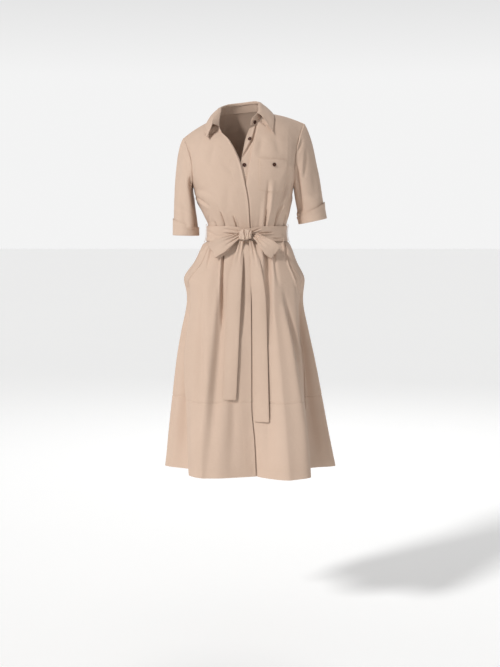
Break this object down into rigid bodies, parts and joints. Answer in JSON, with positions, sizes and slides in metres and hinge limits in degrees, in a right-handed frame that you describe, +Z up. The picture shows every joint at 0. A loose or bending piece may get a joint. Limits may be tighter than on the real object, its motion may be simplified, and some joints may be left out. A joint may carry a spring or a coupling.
{
  "type": "shirt dress",
  "caption": "Midi shirt dress in its worn, hollow form, with a concealed front, turned-up elbow sleeves, slant pockets and a belt tied in a bow.",
  "frame": {"origin": "middle of the neck base, where the shoulders carry the dress", "axes": "+Z up, the front faces -Y, and the wearer's left is +X"},
  "size_m": [0.5166, 0.4542, 1.1241],
  "materials": {
    "poplin": "matt cotton poplin with a faint weave",
    "buttons": "polished dark brown"
  },
  "bodies": {
    "root": {"bodice_front_right": "poplin", "bodice_front_left": "poplin", "bodice_back": "poplin", "button_band": "poplin", "fly_placket": "poplin", "sleeve_right": "poplin", "cuff_right": "poplin", "sleeve_left": "poplin", "cuff_left": "poplin", "collar_stand": "poplin", "collar_leaf": "poplin", "chest_pocket": "poplin", "skirt_front_right": "poplin", "skirt_front_left": "poplin", "skirt_back": "poplin", "hem_front_right": "poplin", "hem_front_left": "poplin", "hem_back": "poplin", "pocket_welt_right": "poplin", "pocket_welt_left": "poplin", "belt_band": "poplin", "bow_knot": "poplin", "bow_loop_right": "poplin", "bow_loop_left": "poplin", "belt_tail_right": "poplin", "belt_tail_left": "poplin", "belt_loop_right": "poplin", "belt_loop_left": "poplin", "button_stand": "buttons", "button_neck_1": "buttons", "button_neck_2": "buttons", "button_pocket": "buttons"}
  },
  "joints": []
}
